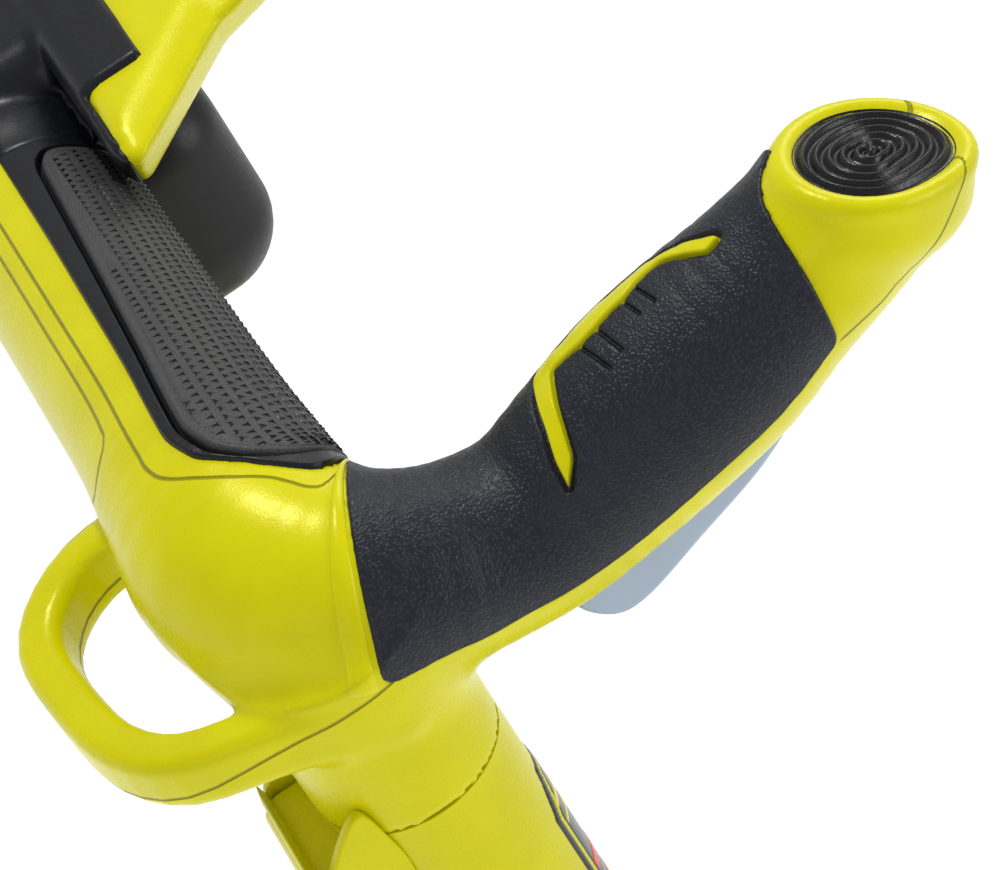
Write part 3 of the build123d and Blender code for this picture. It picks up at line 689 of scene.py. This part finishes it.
def make_shells():
    verts, faces = surface_net(core, (-167, -56, -54), (32, 156, 32), 1.2)
    verts = settle(core, verts)
    s, a = place(verts)
    arc = a * ARC
    inside = -outline_distance(s, arc, GRIP)
    inside[verts[:, 1] < -8] = -9
    under_pad = np.where(s < ELBOW_S, -outline_distance(s, arc, FRAME), -9)
    sink = GRIP_SINK * ease((inside - 0.4) / 1.3) + PAD_SINK * ease((under_pad - 0.5) / 1.5)
    verts = settle(core, verts, -sink)
    lines = {}
    for key, line in (("edge", EDGE_LINE), ("panel", PANEL_LINE)):
        curve = catmull([(x, y * ARC, 0) for x, y in line], 1.5)[:, :2]
        lines[key] = line_distance(s, arc, curve)
        lines[key + "_on"] = ((s < 120) & (a < 140)).astype(float)
    seam = seam_height(verts)
    x, g, k = verts.T
    lines["seam"] = seam
    lines["seam_on"] = ((loop_field(verts) < 2.0) | ((x > 2) & (g < 8) & (g > -35))).astype(float)
    lines["tail"] = k - np.interp(g, *zip(*TAIL_LINE))
    lines["tail_on"] = (g > TAIL_START).astype(float)
    lower = seam[faces].mean(1) < 0
    grip_side = (s[faces].mean(1) > HORN_S) & (verts[faces][:, :, 1].mean(1) > 5)
    lower[grip_side] = np.abs(a[faces].mean(1))[grip_side] > LOWER_A
    for name, node, keep in (("shell_upper", "upper_shells", ~lower),
                             ("shell_lower", "lower_shells", lower)):
        used, f = np.unique(faces[keep], return_inverse=True)
        build(name, [(verts[used], f.reshape(-1, 4))], node, "lime_plastic", "head", "lime_lined",
              attributes={key: v[used] for key, v in lines.items()})


def ring_profile(s0, s1, a0, a1, profile, n=150):
    """A bead along the surface's girth: profile gives (fraction along, lift)."""
    along = np.array([s0 + (s1 - s0) * t for t, _ in profile])
    lift = np.array([h for _, h in profile])
    a = np.linspace(a0, a1, n)
    fade = ease((a - a0) / 6) * ease((a1 - a) / 6)
    ss = np.repeat(along[None, :], n, 0)
    hh = lift[None, :] * fade[:, None] - 0.5 * (1 - fade[:, None])
    return wrap(ss, np.repeat(a[:, None], len(along), 1), hh), sheet_grid(n, len(along))


# ---------------------------------------------------------------- the grip
INLAY = rounded([(219.6, -1), (219.6, 3.4), (215.8, 5.7), (211.5, -8), (207.5, -17.5), (201, -15.5),
                 (196.8, -11), (194.5, -11.5), (189.8, -9.5), (186.2, -8.5), (184.2, -10.6),
                 (179.2, -13), (178.1, -3), (174.5, 23), (172, 38), (166.7, 49.5), (168.5, 32),
                 (171.2, 15), (173.5, -9), (174.8, -24), (177, -32), (182, -31.5), (184, -28.5),
                 (188, -31), (193, -32), (194.8, -29), (199, -29.5), (206, -29), (213.7, -17.4)], 0.7)
WHISKERS = (((200.9, -11), (202.4, 7)), ((196.8, -10), (198.1, 7)),
            ((190.1, -8), (191.3, 16)), ((186.1, -8), (187.9, 19)))


def grip_lift(u, v, d):
    """The overmould: rolled edges, the inlay's recess and the four fine flex grooves."""
    h = -1.2 + 1.8 * np.sqrt(1 - (1 - np.clip(d / 0.85, 0, 1))**2)
    recess = outline_distance(u, v, INLAY)
    h -= 1.3 * (1 - ease((recess - 0.35) / 0.45))
    for (s0, a0), (s1, a1) in WHISKERS:
        w = np.abs(line_distance(u, v, [(s0, a0 * ARC), (s1, a1 * ARC)]))
        h -= 0.5 * np.exp(-(w / 0.4)**2)
    return h


def flex_lines(p):
    """Distances to the flex grooves, in two sets so that neighbours don't mix."""
    u, a = place(p)
    v = a * ARC
    away = 9.0                           # stands for no groove near
    out = {}
    for key, pair in (("flex_a", WHISKERS[0::2]), ("flex_b", WHISKERS[1::2])):
        near = np.full(len(p), away)
        for (s0, a0), (s1, a1) in pair:
            line = [(s0, a0 * ARC), (s1, a1 * ARC)]
            d = line_distance(u, v, line)
            along = ((u - s0) * (s1 - s0) + (v - a0 * ARC) * (a1 - a0) * ARC)
            along /= (s1 - s0)**2 + ((a1 - a0) * ARC)**2
            hit = (np.abs(d) < 1.6) & (along > -0.05) & (along < 1.02)
            near = np.where(hit, d, near)
        out[key] = np.where(near == away, 0.9, near)
        out[key + "_on"] = (near != away).astype(float)
    return out


def make_grip():
    parts = region(GRIP, grip_lift, 0.36)
    build("grip_overmould", parts, "grip_overmoulds", "grip_rubber", "head", "grip_lined",
          attributes=flex_lines(np.vstack([p for p, _ in parts])))

    def inlay_lift(u, v, d):
        return -1.0 + 1.85 * np.sqrt(1 - (1 - np.clip((d - 0.25) / 0.6, 0, 1))**2)

    build("grip_inlay", region(INLAY, inlay_lift, 0.3, 0.9), "grip_inlays", "lime_plastic", "head")
    bead = [(0, -0.5), (0.12, 0.25), (0.25, 0.55), (0.5, 0.72), (0.75, 0.6), (0.9, 0.3), (1, -0.7)]
    build("grip_bead", [ring_profile(ELBOW_S, HORN_S - 0.1, -112, 108, bead)], None,
          "lime_plastic", "head")


# ---------------------------------------------------------------- palm pads
FRAME = rounded([(-38, 30), (8, 30), (80, 33), (88, 25.6), (94, 11), (110, -7.3), (114.5, -25),
                 (110, -42.7), (94, -61), (88, -75.6), (80, -83), (8, -80), (-38, -80)])
PAD = rounded([(-22, 6), (-17, 12), (10, 15.2), (28, 17.4), (63, 22.3), (80, 23.9), (88, 17.3),
               (101.7, -9.4), (104, -25), (101.7, -40.6), (88, -67.3), (80, -73.9),
               (63, -72.3), (28, -67.4), (10, -65), (-17, -61), (-22, -55)])


STAR_R, STAR_VALLEY, STAR_H = 1.02, 0.34, 0.42   # mm, valleys' share of it, mm
STAR_U, STAR_V = 2.3, 1.95               # spacing along and across the pad, mm
STAR_MARGIN = 2.9                        # plain border inside the pad's edge, mm


def star(u, v, turn, top):
    """A three-armed raised star on the pad: centre, three tips and the valleys between."""
    s, a, h = [u], [v], [top + STAR_H]
    for k in range(6):
        r = STAR_R if k % 2 == 0 else STAR_R * STAR_VALLEY
        s.append(u + r * math.cos(turn + k * math.pi / 3))
        a.append(v + r * math.sin(turn + k * math.pi / 3))
        h.append(top - 0.05)
    return s, a, h, [(0, 1 + k, 1 + (k + 1) % 6) for k in range(6)]


def make_pads():
    def frame_lift(u, v, d):
        h = -1.0 + 1.95 * np.sqrt(1 - (1 - np.clip(d / 0.8, 0, 1))**2)
        return h - 2.3 * ease((0.95 - outline_distance(u, v, PAD)) / 0.8)

    build("pad_frame", region(FRAME, frame_lift, 0.5, 0.9, PAD, 1.1), "pad_frames", "black_trim",
          "head")

    def pad_lift(u, v, d):
        edge = np.sqrt(1 - (1 - np.clip(d / 1.1, 0, 1))**2)
        return -1.9 + 3.3 * edge + 0.5 * ease(d / 8) - 0.25 * np.exp(-((d - 2.0) / 0.35)**2)

    build("palm_pad", region(PAD, pad_lift, 0.5, 2.4), "palm_pads", "pad_rubber", "head")
    low, high = PAD.min(0), PAD.max(0)
    s, a, h, tris = [], [], [], []
    for row, v in enumerate(np.arange(low[1], high[1], STAR_V)):
        odd = row % 2
        for u in np.arange(low[0] + odd * STAR_U / 2, high[0], STAR_U):
            inside = -outline_distance(np.array([u]), np.array([v]), PAD)
            if inside[0] < STAR_MARGIN:
                continue
            top = float(pad_lift(u, v, inside)[0])
            more_s, more_a, more_h, faces = star(u, v, math.pi / 2 + odd * math.pi, top)
            tris += [tuple(x + len(s) for x in t) for t in faces]
            s, a, h = s + more_s, a + more_a, h + more_h
    stars = (wrap(np.array(s), np.array(a) / ARC, np.array(h)), np.array(tris)[:, ::-1])
    # The stars are built raised and given the near-black thumb rubber as painted shade: they stand for the pad's
    # shaded star-shaped dimples.
    build("palm_pad_stars", [stars], None, "pad_rubber", "head", "thumb_rubber", smooth=False)


# ---------------------------------------------------------------- thumb pads
THUMB_R = 16.1                           # the pad's mean radius
RIDGES, RIDGE_H = 6.1, 1.15              # how many rings, and their height
RIDGES_END, PAD_LIP = 0.93, 0.955        # where the rings and the flat rim end, of the radius


def make_thumb_pads():
    """An egg-shaped domed pad with rings that grow longer and more pointed towards its middle."""
    turns, rings = 168, 118
    phi = np.arange(turns) * 2 * math.pi / turns
    pts = []
    for i in range(rings + 1):
        t = i / rings
        squeeze = 0.22 * (1 - t)**1.2
        shape = egg(phi) + squeeze * np.cos(2 * phi + 1.05) + 0.12 * (1 - t) * np.cos(phi - 2.0)
        radius = THUMB_R * t * shape
        wave = 0.5 + 0.5 * math.cos(2 * math.pi * (t * RIDGES - 0.1))
        z = -0.2 + RIDGE_H * wave * (t < RIDGES_END) + 0.35 * (1 - t * t)
        if t >= PAD_LIP:
            z = 0.45 - 3.6 * ((t - PAD_LIP) / (1 - PAD_LIP))**2
        pts.append(np.column_stack([radius * np.sin(phi), radius * np.cos(phi),
                                    np.full(turns, z)]))
    p = np.stack(pts, 1).reshape(-1, 3)
    along = np.array([0.0, WORLD_UP[2], -WORLD_UP[1]])
    local = THUMB + p[:, :1] * np.array([1.0, 0, 0]) + p[:, 1:2] * along + p[:, 2:] * WORLD_UP
    build("thumb_pad", [(local, sheet_grid(turns, rings + 1, True))], "thumb_pads", "pad_rubber",
          "head", "thumb_rubber")


# ---------------------------------------------------------------- levers
def slab(outline, half, r, x0=0.0):
    """A plate of a closed (g, k) outline with rounded long edges, as quads and end caps."""
    c = np.asarray(outline, float)
    t = np.roll(c, -1, 0) - np.roll(c, 1, 0)
    t /= np.linalg.norm(t, axis=1)[:, None] + 1e-9
    n = np.column_stack([t[:, 1], -t[:, 0]])
    area = 0.5 * np.sum(c[:, 0] * np.roll(c[:, 1], -1) - np.roll(c[:, 0], -1) * c[:, 1])
    n *= np.sign(area)
    rows = [(-half, r * 2.2), (-half, r)]          # (x, inset) across the plate
    rows += [(-half + r * (1 - math.cos(q)), r * (1 - math.sin(q)))
             for q in np.linspace(0.25, math.pi / 2, 5)]
    rows += [(-x, i) for x, i in rows[::-1]]
    ring = []
    for x, inset in rows:
        q = c - n * inset
        ring.append(np.column_stack([np.full(len(c), x + x0), q]))
    p = np.stack(ring, 1).reshape(-1, 3)
    m, k = len(c), len(rows)
    f = sheet_grid(m, k, True)
    first = np.arange(m)[None, :] * k
    last = first + k - 1
    if area > 0:
        return [(p, f[:, ::-1]), (p, last), (p, first[:, ::-1])]
    return [(p, f), (p, last[:, ::-1]), (p, first)]


def smooth_outline(points, step=1.2):
    """A smooth closed curve through the (g, k) points: one whole turn of it."""
    p = np.asarray(points, float)
    n = len(p)
    c = catmull(np.column_stack([np.vstack([p, p[:3]]), np.zeros(n + 3)]), step)[:, :2]
    start = int(np.argmin(np.hypot(*(c - p[1]).T)))
    rest = c[start + 3:]
    stop = start + 3 + int(np.argmin(np.hypot(*(rest - p[1]).T)))
    return c[start:stop]


def make_levers():
    """The power levers under the grips."""
    blade = smooth_outline([(98.5, -12), (97.5, -27), (88, -35), (70, -42), (56, -47), (48.5, -46.5),
                            (43, -40), (43.5, -32), (60, -28), (84, -19), (87, -10)])
    for side, name in ((1, "right"), (-1, "left")):
        build(name + "_squeeze_lever", slab(blade, 7.0, 1.8), name + "_power_lever",
              "lever_grey", name + "_lever", sides=(side,))


CAM_WALL = [(-14, -42), (-24, -51), (-28.5, -60), (-29, -98), (-25, -107), (-21, -103), (-18, -84),
            (-13, -74), (-10.5, -62), (-11, -52)]


CAM_PIN = (0, -25, -60)                  # x, g, k
WALL_X, WALL_HALF = 16.4, 1.3            # a wall's middle and half its thickness


def make_cams():
    """Quick-release levers: two thin walls, a back plate, a finger lip and stiffening ribs."""
    wall = smooth_outline(CAM_WALL)
    back = [(-29, -56), (-29.6, -98), (-26.5, -108), (-24.5, -107.5), (-27.2, -97), (-26.8, -56)]
    ribs = [[(-27.5, k), (g, k), (g, k - 1.8), (-27.5, k - 1.8)] for g, k in ((-18, -72), (-20, -86))]
    parts = slab(wall, WALL_HALF, 0.6, WALL_X) + slab(wall, WALL_HALF, 0.6, -WALL_X)
    parts += slab(smooth_outline(back), 16.0, 0.5)
    for rib in ribs:
        parts += slab(with_side_points(rib), 15.6, 0.3)
    pin = [(-19.4, 0.01), (-19.4, 3.6), (-18.6, 4.2), (-17.8, 4.2), (-17.6, 2.9), (17.6, 2.9),
           (17.8, 4.2), (18.6, 4.2), (19.4, 3.6), (19.4, 0.01)]
    for side, name in ((1, "right"), (-1, "left")):
        build(name + "_clamp_lever", parts, name + "_cam_lever", "lime_plastic",
              name + "_cam", sides=(side,))
    build("clamp_pin", [turned(pin, CAM_PIN)], "cam_pins", "zinc_steel", "handle")


def with_side_points(points):
    """A closed outline whose corners give way to six points along each side."""
    p = np.asarray(points, float)
    return np.vstack([a + (b - a) * np.linspace(0.06, 0.94, 6)[:, None]
                      for a, b in zip(p, np.roll(p, -1, 0))])


# ---------------------------------------------------------------- console
POD_HALF_X = 84.0
BACK_HALF_X, TOP_HALF_X, COLLAR_HALF_X = 62.0, 86.0, 79.0
NOSE_X = 90.0                            # half the nose's width before it is tapered
TAPER_G, TAPER_X = [17, 20, 40, 50, 61, 70], [99, 102, 84, 75, 71, 66]
COLLAR_TURN = math.radians(31)           # where the collar stops at the back, from straight up


def console_x(p):
    """Distance from the console's middle."""
    return np.abs(p[:, 0] + TUBE_X * 1000)


def rounded_box(x, g, k, half, r):
    """Distance to a box of these half sizes whose edges have radius r."""
    q = np.stack([np.abs(x) - half[0] + r, np.abs(g) - half[1] + r, np.abs(k) - half[2] + r])
    return np.linalg.norm(np.maximum(q, 0), axis=0) + np.minimum(q.max(0), 0) - r


def cover_field(p):
    """The lime body of the console: a block over the crossbar and a tapering nose forward of it."""
    x, g, k = console_x(p), p[:, 1], p[:, 2]
    back = rounded_box(x, g + 2, k - 5, (BACK_HALF_X, 24, 19.5), 9)
    width = np.interp(g, TAPER_G, TAPER_X)
    width = width + 0.75 * np.clip(k - 9, 0, 12) - 1.6 * np.maximum(k - 21, 0)
    dome = 2.5 * ease(1 - x / 110)
    nose = rounded_box(x * NOSE_X / width, g - 42, k - 16.5 - dome, (NOSE_X, 24, 9), 5) * 0.8
    return smooth_min(back, nose, 3.0)


def pod_field(p):
    """The black pod under the front of the console, well rounded below."""
    return rounded_box(console_x(p), p[:, 1] - 17.5, p[:, 2] + 18, (POD_HALF_X, 23.5, 29), 17)


def collar_field(p):
    """Black surround: the console's rear and top, and a collar that meets each grip's pad."""
    x, g, k = console_x(p), p[:, 1], p[:, 2]
    skin = cover_field(p) - 1.1
    rear = smooth_max(skin, g - 19.5, 2.0)
    top = np.maximum(np.maximum(skin, x - TOP_HALF_X), np.maximum(g - 33.5, 17 - k))
    bar = np.hypot(g - BAR[0], k - BAR[1]) - 23.6 + 1.8 * ease((x - 66) / 12)
    up = (g - BAR[0]) * WORLD_UP[1] + (k - BAR[1]) * WORLD_UP[2]
    back = (g - BAR[0]) * -WORLD_UP[2] + (k - BAR[1]) * WORLD_UP[1]
    sector = back * math.cos(COLLAR_TURN) - up * math.sin(COLLAR_TURN)
    collar = smooth_max(smooth_max(bar, x - COLLAR_HALF_X, 1.2), sector, 1.0)
    return smooth_min(smooth_min(rear, top, 0.8), collar, 2.5)


def make_console():
    middle = -TUBE_X * 1000
    low, high = (middle - 116, -32, -50), (middle + 116, 70, 34)
    for name, field, node, slot, step in (
            ("console_shell", cover_field, "console_cover", "lime_plastic", 2.0),
            ("console_surround", collar_field, "console_panel", "black_trim", 1.7),
            ("console_pod_shell", pod_field, "console_pod", "charcoal_plastic", 2.0)):
        verts, faces = surface_net(field, low, high, step)
        verts = settle(field, verts)
        build(name, [(verts, faces)], node, slot, "head", sides=(1,))


# ---------------------------------------------------------------- tubes, bolts and labels
TUBE_R = 20.0
TUBE_ARC = TUBE_R * math.pi / 180        # mm of the tube's surface to a degree


def turned(profile, at, n=48):
    """A turned part from (place, radius) rows along x, centred on (x, g, k)."""
    phi = np.arange(n) * 2 * math.pi / n
    ring = [np.column_stack([np.full(n, float(t)), r * np.cos(phi), r * np.sin(phi)])
            for t, r in profile]
    return np.stack(ring, 1).reshape(-1, 3) + np.array(at, float), sheet_grid(n, len(profile), True)


def tube_patch(over, corners, step=0.8):
    """A thin plate on the tube, over mm above it: corners are (degrees round from outward, k)."""
    outline = divided(np.asarray(corners, float) * [TUBE_ARC, 1], 1.2)
    u, v, d, f = grid_over(outline, step)
    f = f[(d[f] < ON_EDGE).all(1)]
    used, f = np.unique(f, return_inverse=True)
    height = TUBE_R + over + FILM * ease(-d[used] / 0.5) - 0.15
    a = u[used] / TUBE_ARC * math.pi / 180
    return (np.column_stack([height * np.cos(a), height * np.sin(a), v[used]]),
            f.reshape(-1, 4))


def drawn_in(corners, inset):
    """The label's outline drawn in by inset mm, as far along its length as round the tube."""
    p = np.asarray(corners, float) * [TUBE_ARC, 1]
    mid = p.mean(0)
    away = p - mid
    p = mid + away * (1 - inset / np.maximum(np.abs(away), 1e-6).clip(inset + 0.1))
    return p / [TUBE_ARC, 1]


FILM = 0.42                              # how proud the label's edges stand, mm
LABEL = [(57, -112), (57, -79), (72, -68.5), (118, -68.5), (133, -79), (133, -238), (118, -255),
         (72, -255), (57, -238)]


MARK_A = (66, 124)                       # the printed bars' ends, degrees round
MARKS = {                                # k of each bar's middle, and its width
    "lime_plastic": [(-78, 3.2), (-83.5, 2.2), (-127, 2.2), (-134, 1.2), (-141, 2.2)],
    "red_print": [(-98, 4.2), (-147, 2.2)],
    "orange_print": [(-107, 4.2), (-153, 2.2)]}


def bar_corners(k, w):
    a, b = MARK_A
    return [(a, k - w / 2), (a, k + w / 2), (b, k + w / 2), (b, k - w / 2)]


def make_fittings():
    """The sockets' bolts, and the label: plate, lime line, dark field and plain printed bars."""
    bolt = [(-17.5, 0.01), (-17.5, 4.6), (-15, 5.0), (-14.2, 3.0), (14.2, 3.0), (15, 5.0),
            (17.5, 4.6), (17.5, 0.01)]
    build("socket_bolt", [turned(bolt, (0, 0, -36))], "socket_bolts", "zinc_steel", "head")
    build("label_plate", [tube_patch(0.0, LABEL)], "label_plates", "label_film", "handle")
    build("label_line", [tube_patch(0.12, drawn_in(LABEL, 1.3))], None, "lime_plastic", "handle")
    build("label_field", [tube_patch(0.2, drawn_in(LABEL, 2.3))], None, "label_film", "handle")
    for name, bars in MARKS.items():
        patches = [tube_patch(0.28, bar_corners(k, w), 0.6) for k, w in bars]
        build("label_" + name, patches, None, "label_film", "handle", name)


# ---------------------------------------------------------------- make everything
make_shells()
make_grip()
make_pads()
make_thumb_pads()
make_levers()
make_console()
make_fittings()
make_cams()

NODE_SLOT = {p["node"]: p["material_slot"] for p in frame["record"]["subparts"]}
for node, obj in frame["nodes"].items():
    if not obj.hide_render:
        dress(obj, NODE_SLOT.get(node, "charcoal_plastic"), 0.5)

# ---------------------------------------------------------------- floor, light and camera
def make_floor():
    mesh = bpy.data.meshes.new("studio_floor")
    n, size = 24, 9.0
    xy = np.linspace(-size, size, n + 1)
    gx, gy = np.meshgrid(xy, xy, indexing="ij")
    pts = np.column_stack([gx.ravel(), gy.ravel(), np.zeros(gx.size)])
    mesh.from_pydata(pts.tolist(), [], sheet_grid(n + 1, n + 1).tolist())
    obj = bpy.data.objects.new("studio_floor", mesh)
    bpy.context.scene.collection.objects.link(obj)
    mat, tree, bsdf = nodes_of("studio floor")
    tree.links.new(mix(tree, noise(tree, 3.0), (0.9, 0.9, 0.9), (0.93, 0.93, 0.93)),
                   bsdf.inputs["Base Color"])
    bsdf.inputs["Roughness"].default_value = 0.9
    bsdf.inputs["Emission Color"].default_value = (1, 1, 1, 1)
    bsdf.inputs["Emission Strength"].default_value = 0.42
    mesh.materials.append(mat)


def area_light(name, at, to, size, power):
    data = bpy.data.lights.new(name, "AREA")
    data.shape, data.size, data.energy = "DISK", size, power
    obj = bpy.data.objects.new(name, data)
    bpy.context.scene.collection.objects.link(obj)
    obj.location = at
    obj.rotation_euler = (Vector(to) - Vector(at)).to_track_quat("-Z", "Y").to_euler()


make_floor()
area_light("key", HEAD + Vector((-0.53, -0.30, 1.37)), HEAD, 0.24, 11)
area_light("side", HEAD + Vector((1.2, -1.0, 0.1)), HEAD, 0.8, 1.5)
area_light("over", HEAD + Vector((-1.0, 0.9, 1.1)), HEAD, 0.8, 5)
area_light("body", Vector((1.2, 1.6, 1.8)), Vector((0, 0.2, 0.1)), 1.2, 16)
world = bpy.data.worlds.new("studio")
bpy.context.scene.world = world
world.use_nodes = True
sky = world.node_tree.nodes["Background"].inputs
sky["Color"].default_value = (1, 1, 1, 1)
sky["Strength"].default_value = 0.52
bpy.context.scene.view_settings.view_transform = "Standard"

camera = bpy.data.objects.new("camera", bpy.data.cameras.new("camera"))
bpy.context.scene.collection.objects.link(camera)
camera.data.lens = 165.24
camera.data.sensor_width = 36.0
camera.data.clip_end = 30.0
right, up, look = (Vector(v).normalized() for v in (
    (0.38436, 0.92247, 0.03637), (-0.52148, 0.18443, 0.83309), (-0.7618, 0.3392, -0.5519)))
camera.matrix_world = Matrix.Translation(HEAD + Vector((0.647985, -0.247299, 0.493702))) @ \
    Matrix((right, up, -look)).transposed().to_4x4()
bpy.context.scene.camera = camera
